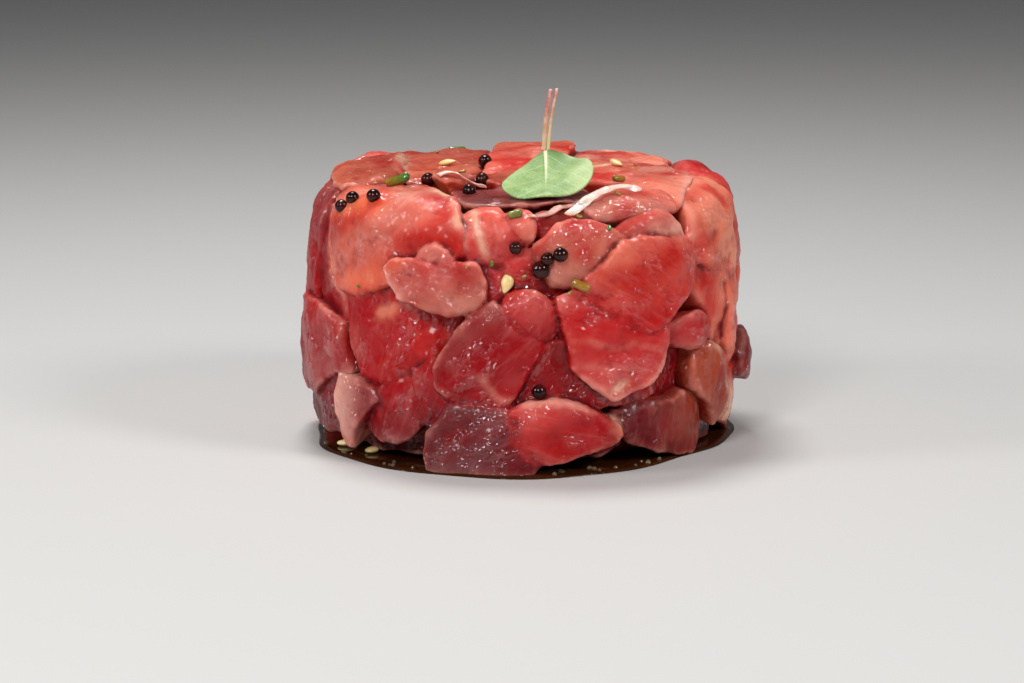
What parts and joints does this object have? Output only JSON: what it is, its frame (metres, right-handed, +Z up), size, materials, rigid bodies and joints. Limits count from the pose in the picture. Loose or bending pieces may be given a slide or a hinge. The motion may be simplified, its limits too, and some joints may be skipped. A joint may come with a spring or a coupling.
{
  "type": "tuna tartare",
  "caption": "Ring-pressed drum of hand-cut raw tuna chunks scattered with mustard seeds, sesame, chive and shallot, with a small leaf on top.",
  "frame": {"origin": "centre of the flat underside of the drum, where it rests", "axes": "+Z up, the front that the picture shows faces -Y, +X to the right seen from the front"},
  "size_m": [0.0762, 0.0755, 0.0597],
  "materials": {
    "tuna": "raw tuna, wet and glossy, rose to crimson with pale veins",
    "leaf_green": "fresh leaf, matt with a faint sheen, on pink stems"
  },
  "bodies": {
    "root": {"tuna_heap": "tuna", "leaf": "leaf_green"}
  },
  "joints": []
}
